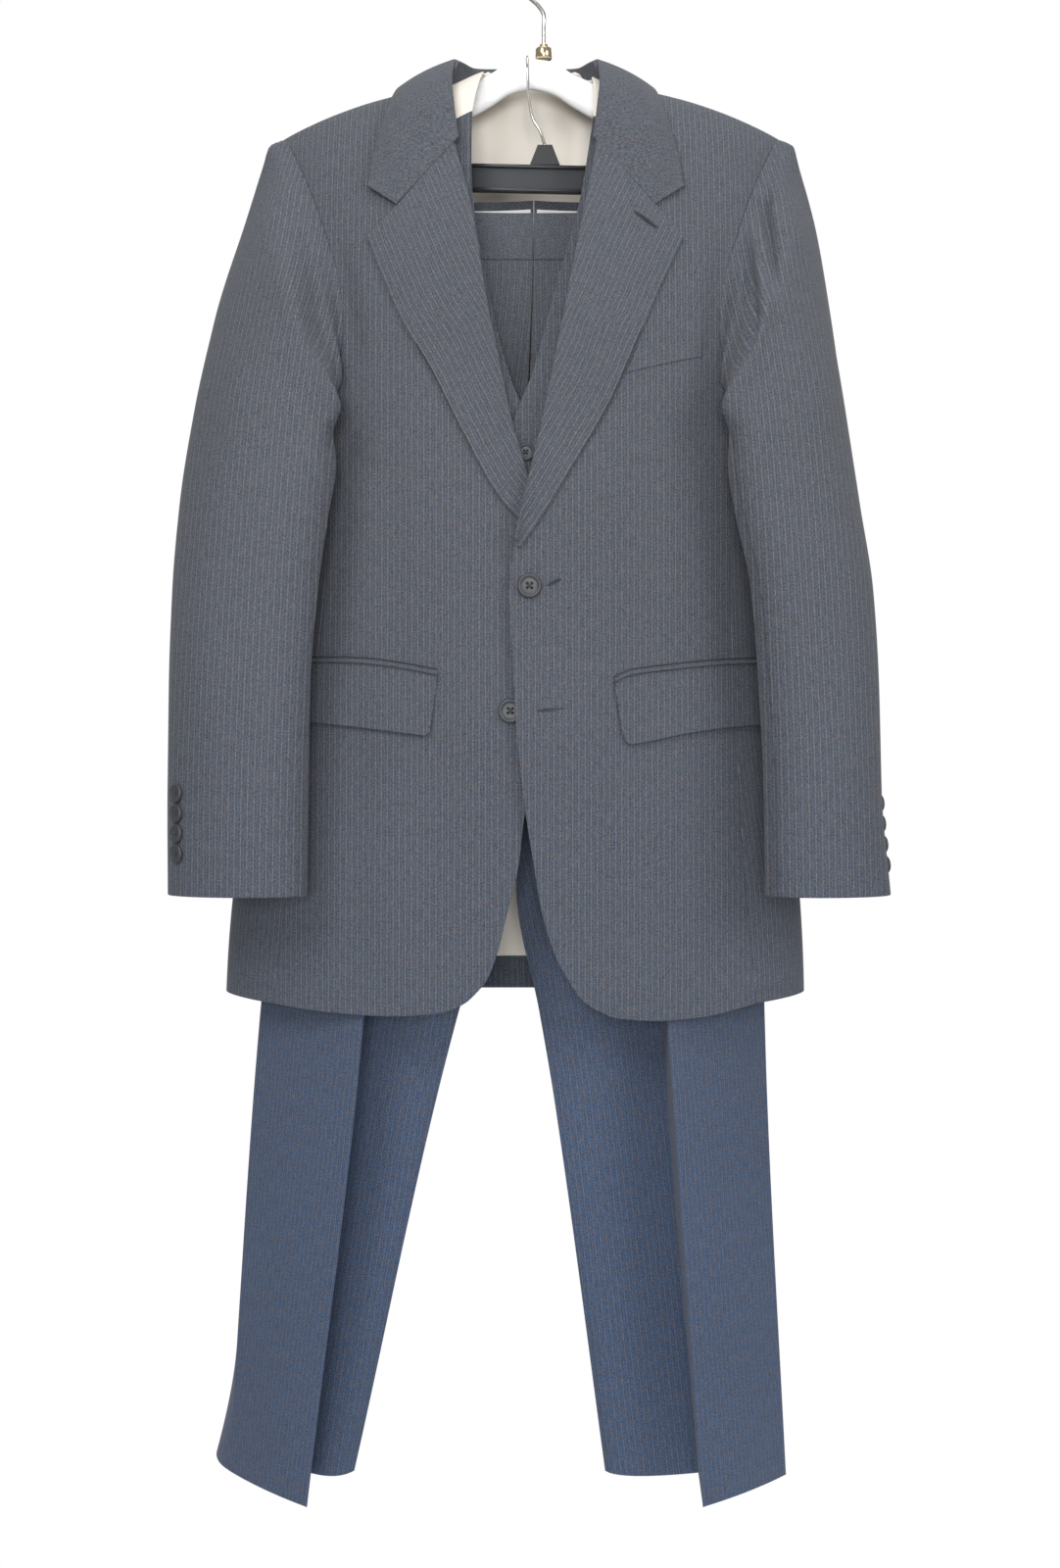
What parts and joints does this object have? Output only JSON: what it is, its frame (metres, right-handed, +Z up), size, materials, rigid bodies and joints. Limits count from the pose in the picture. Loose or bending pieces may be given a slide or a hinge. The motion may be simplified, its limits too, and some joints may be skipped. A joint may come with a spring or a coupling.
{
  "type": "three-piece suit on hangers",
  "caption": "Men's pinstripe suit hanging as stored: two-button jacket over its vest on a contoured hanger, with the trousers clipped to a bar hanger inside.",
  "frame": {"origin": "inside of the top of the suit hanger's hook, where the suit is held", "axes": "+Z up along the hanging suit, -Y out of its front, +X to the viewer's right"},
  "size_m": [0.5842, 0.2178, 1.2878],
  "materials": {
    "suit_cloth": "grey worsted with a fine dotted pinstripe, rows about 5 mm apart",
    "trouser_cloth": "the same worsted, hanging in bluer light",
    "satin_lining": "pale tan satin",
    "waist_lining": "white cotton",
    "button": "dark horn-like plastic, soft gloss",
    "white_plastic": "smooth white",
    "black_plastic": "smooth black",
    "wire": "bright wire"
  },
  "bodies": {
    "root": {"clip_hanger_bar": "black_plastic", "clip_hanger_boss": "black_plastic", "clip_hanger_hook": "wire", "clip_left": "black_plastic", "clip_right": "black_plastic", "hanger_body": "white_plastic", "hanger_ferrule": "wire", "hanger_hook": "wire", "jacket_back_left": "suit_cloth", "jacket_back_lining": "satin_lining", "jacket_back_right": "suit_cloth", "jacket_button_low": "button", "jacket_button_top": "button", "jacket_chest_welt": "suit_cloth", "jacket_collar_fall": "suit_cloth", "jacket_collar_stand": "suit_cloth", "jacket_flap_left": "suit_cloth", "jacket_flap_right": "suit_cloth", "jacket_front_left": "suit_cloth", "jacket_front_right": "suit_cloth", "jacket_jet_left": "suit_cloth", "jacket_jet_right": "suit_cloth", "jacket_lapel_left": "suit_cloth", "jacket_lapel_right": "suit_cloth", "jacket_side_left": "suit_cloth", "jacket_side_right": "suit_cloth", "jacket_sleeve_button_left_1": "button", "jacket_sleeve_button_left_2": "button", "jacket_sleeve_button_left_3": "button", "jacket_sleeve_button_left_4": "button", "jacket_sleeve_button_right_1": "button", "jacket_sleeve_button_right_2": "button", "jacket_sleeve_button_right_3": "button", "jacket_sleeve_button_right_4": "button", "jacket_sleeve_top_left": "suit_cloth", "jacket_sleeve_top_right": "suit_cloth", "jacket_sleeve_under_left": "suit_cloth", "jacket_sleeve_under_right": "suit_cloth", "trouser_back_left": "trouser_cloth", "trouser_back_right": "trouser_cloth", "trouser_front_left": "trouser_cloth", "trouser_front_right": "trouser_cloth", "vest_back": "satin_lining", "vest_button_1": "button", "vest_button_2": "button", "vest_button_3": "button", "vest_button_4": "button", "vest_button_5": "button", "vest_front_left": "suit_cloth", "vest_front_right": "suit_cloth", "vest_side_left": "satin_lining", "vest_side_right": "satin_lining", "waistband_back_left": "trouser_cloth", "waistband_back_right": "trouser_cloth", "waistband_front_left": "trouser_cloth", "waistband_front_right": "trouser_cloth", "waistband_lining_left": "waist_lining", "waistband_lining_right": "waist_lining"}
  },
  "joints": []
}
